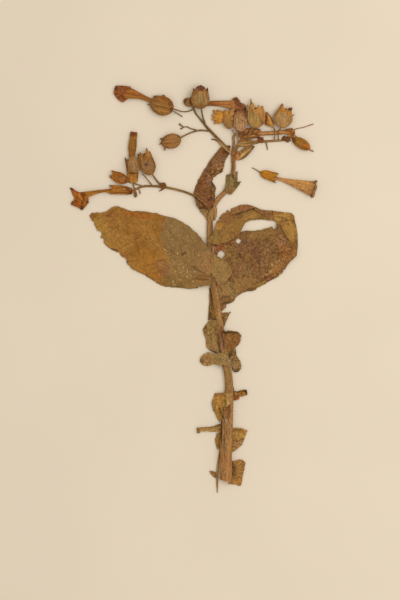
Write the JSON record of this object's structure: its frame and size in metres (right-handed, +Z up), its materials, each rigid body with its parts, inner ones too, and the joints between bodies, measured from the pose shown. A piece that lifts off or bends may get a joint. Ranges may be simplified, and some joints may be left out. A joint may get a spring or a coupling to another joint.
{
  "type": "pressed tobacco shoot",
  "caption": "Cut flowering shoot of a tobacco plant, pressed flat and dried, with leaves, flowers and seed capsules on a bare stem.",
  "frame": {"origin": "On the surface that the shoot lies on, under the middle of its bounding box", "axes": "+Z up from that surface, +Y from the cut foot of the stem towards the flower head, +X to the right of the stem seen from above"},
  "size_m": [0.1892, 0.312, 0.0085],
  "materials": {
    "stem": "dry, ridged and dull",
    "green_leaf": "dry leaf, matt, ochre to olive",
    "brown_leaf": "dry leaf, matt, mottled brown",
    "withered_leaf": "withered leaf, matt, crinkled",
    "calyx": "papery, ribbed, amber",
    "capsule": "papery, pinkish brown",
    "corolla": "papery, amber with dark red-brown lobes"
  },
  "bodies": {
    "root": {"main_stem": "stem", "left_bough": "stem", "right_bough": "stem", "lower_bough": "stem", "middle_bough": "stem", "stem_splinter": "stem", "left_leaf": "green_leaf", "right_leaf_blade": "brown_leaf", "right_leaf_fold": "green_leaf", "upper_leaf": "brown_leaf", "stem_bract": "green_leaf", "pod_bract": "withered_leaf", "wing_scrap": "withered_leaf", "small_flap": "withered_leaf", "thorn_scrap": "withered_leaf", "clasp_scrap": "withered_leaf", "round_scrap": "withered_leaf", "fan_scrap": "withered_leaf", "curled_scrap": "withered_leaf", "hook_scrap": "withered_leaf", "broad_scrap": "withered_leaf", "arm_scrap": "withered_leaf", "sheath_scrap": "withered_leaf", "wedge_scrap": "withered_leaf", "foot_scrap": "withered_leaf", "heel_scrap": "withered_leaf", "top_fruit_calyx": "calyx", "top_fruit_capsule": "capsule", "right_fruit_calyx": "calyx", "right_fruit_capsule": "capsule", "middle_fruit_calyx": "calyx", "middle_fruit_capsule": "capsule", "pale_fruit_calyx": "calyx", "pale_fruit_capsule": "capsule", "brown_fruit_calyx": "calyx", "brown_fruit_capsule": "capsule", "left_fruit_calyx": "calyx", "left_fruit_capsule": "capsule", "small_fruit_calyx": "calyx", "small_fruit_capsule": "capsule", "low_fruit": "calyx", "round_fruit": "calyx", "tip_bud": "calyx", "orange_calyx": "calyx", "fallen_bud": "calyx", "far_flower_calyx": "calyx", "folded_bract": "calyx", "far_flower_corolla": "corolla", "upright_flower_calyx": "calyx", "upright_flower_corolla": "corolla", "star_flower_calyx": "calyx", "star_flower_corolla": "corolla", "hidden_flower_calyx": "calyx", "hidden_flower_corolla": "corolla", "lying_flower_calyx": "calyx", "lying_flower_corolla": "corolla", "fallen_flower_calyx": "calyx", "fallen_flower_corolla": "corolla"}
  },
  "joints": []
}
